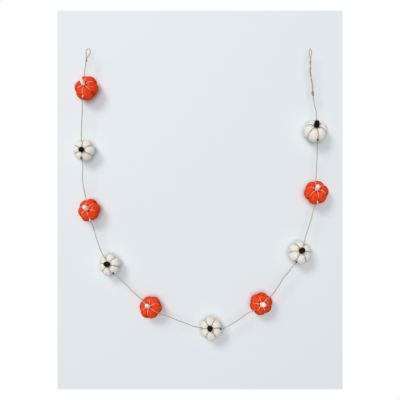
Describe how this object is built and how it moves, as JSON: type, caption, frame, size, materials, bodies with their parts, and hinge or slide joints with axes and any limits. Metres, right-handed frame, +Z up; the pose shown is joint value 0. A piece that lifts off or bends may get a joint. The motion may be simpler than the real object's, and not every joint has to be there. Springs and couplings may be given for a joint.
{
  "type": "felt pumpkin garland",
  "caption": "Garland of laced, stemmed felt pumpkins strung and knotted on a jute twine, hung as a deep U from a loop at each end.",
  "frame": {"origin": "inner crown of the left hanging loop, where the hook or nail bears", "axes": "+Z up, the garland hangs in the XZ plane with its left end at the origin and its right end towards +X; the front, with the stems, faces -Y and the wall is towards +Y"},
  "size_m": [0.5811, 0.0536, 0.6621],
  "materials": {
    "orange_felt": "matt wool felt, filled",
    "cream_felt": "matt wool felt, filled",
    "white_stem_felt": "matt rolled wool felt",
    "dark_stem_felt": "matt rolled wool felt",
    "pale_thread": "plied cotton thread",
    "dark_thread": "plied cotton thread",
    "jute_twine": "plied jute, slightly hairy"
  },
  "bodies": {
    "root": {"felt_cream_a": "cream_felt", "felt_cream_b": "cream_felt", "felt_cream_c": "cream_felt", "felt_cream_d": "cream_felt", "felt_cream_e": "cream_felt", "felt_orange_a": "orange_felt", "felt_orange_b": "orange_felt", "felt_orange_c": "orange_felt", "felt_orange_d": "orange_felt", "felt_orange_e": "orange_felt", "lacing_cream_a": "dark_thread", "lacing_cream_b": "dark_thread", "lacing_cream_c": "dark_thread", "lacing_cream_d": "dark_thread", "lacing_cream_e": "dark_thread", "lacing_orange_a": "pale_thread", "lacing_orange_b": "pale_thread", "lacing_orange_c": "pale_thread", "lacing_orange_d": "pale_thread", "lacing_orange_e": "pale_thread", "loop_left": "jute_twine", "loop_right": "jute_twine", "stem_cream_a": "dark_stem_felt", "stem_cream_b": "dark_stem_felt", "stem_cream_c": "dark_stem_felt", "stem_cream_d": "dark_stem_felt", "stem_cream_e": "dark_stem_felt", "stem_orange_a": "white_stem_felt", "stem_orange_b": "white_stem_felt", "stem_orange_c": "white_stem_felt", "stem_orange_d": "white_stem_felt", "stem_orange_e": "white_stem_felt", "twine": "jute_twine"}
  },
  "joints": []
}
